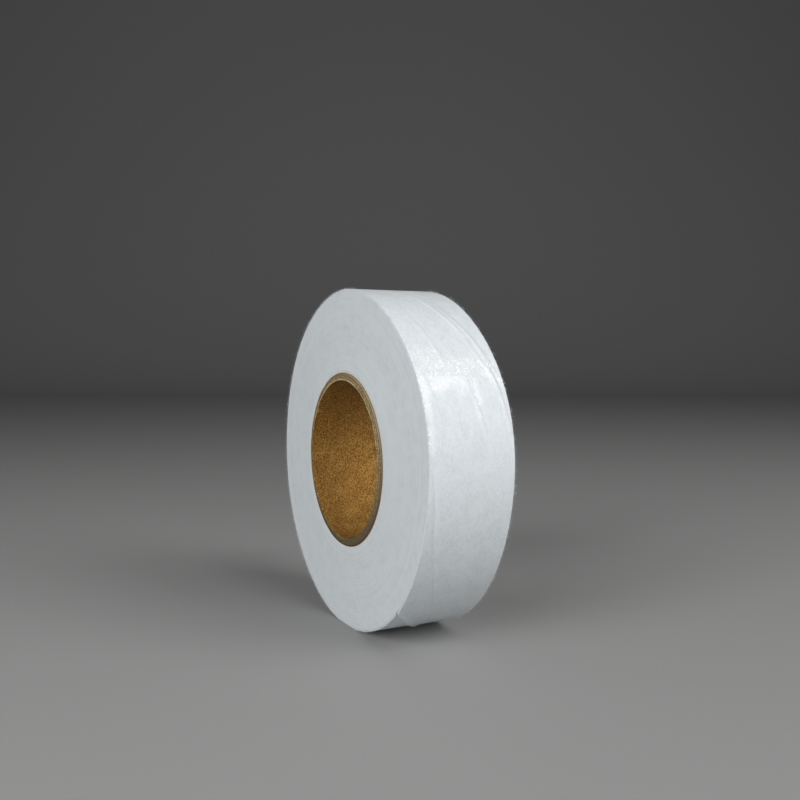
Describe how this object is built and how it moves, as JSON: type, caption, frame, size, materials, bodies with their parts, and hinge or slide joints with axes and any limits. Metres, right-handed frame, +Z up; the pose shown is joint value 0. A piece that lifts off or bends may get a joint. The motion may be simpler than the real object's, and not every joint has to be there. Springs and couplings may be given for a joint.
{
  "type": "roll of hem tape",
  "caption": "Roll of white fusible web hem tape wound on a brown cardboard core, standing on its rim, with a slanted cut end stuck down low on the rim.",
  "frame": {"origin": "on the surface the roll stands on, at the middle of the small flat pressed into its rim, half way along its width", "axes": "+Z up, +Y along the roll's axis away from the side seen in the picture, +X towards the part of the rim seen in the picture"},
  "size_m": [0.0799, 0.0222, 0.0795],
  "materials": {
    "tape_web": "white non-woven web, matt on the cut edges of its turns and with a satin sheen on the outer turn",
    "cardboard": "bare brown kraft board, fibrous, greyer where it is cut"
  },
  "bodies": {
    "root": {"wound_tape": "tape_web", "core": "cardboard"}
  },
  "joints": []
}
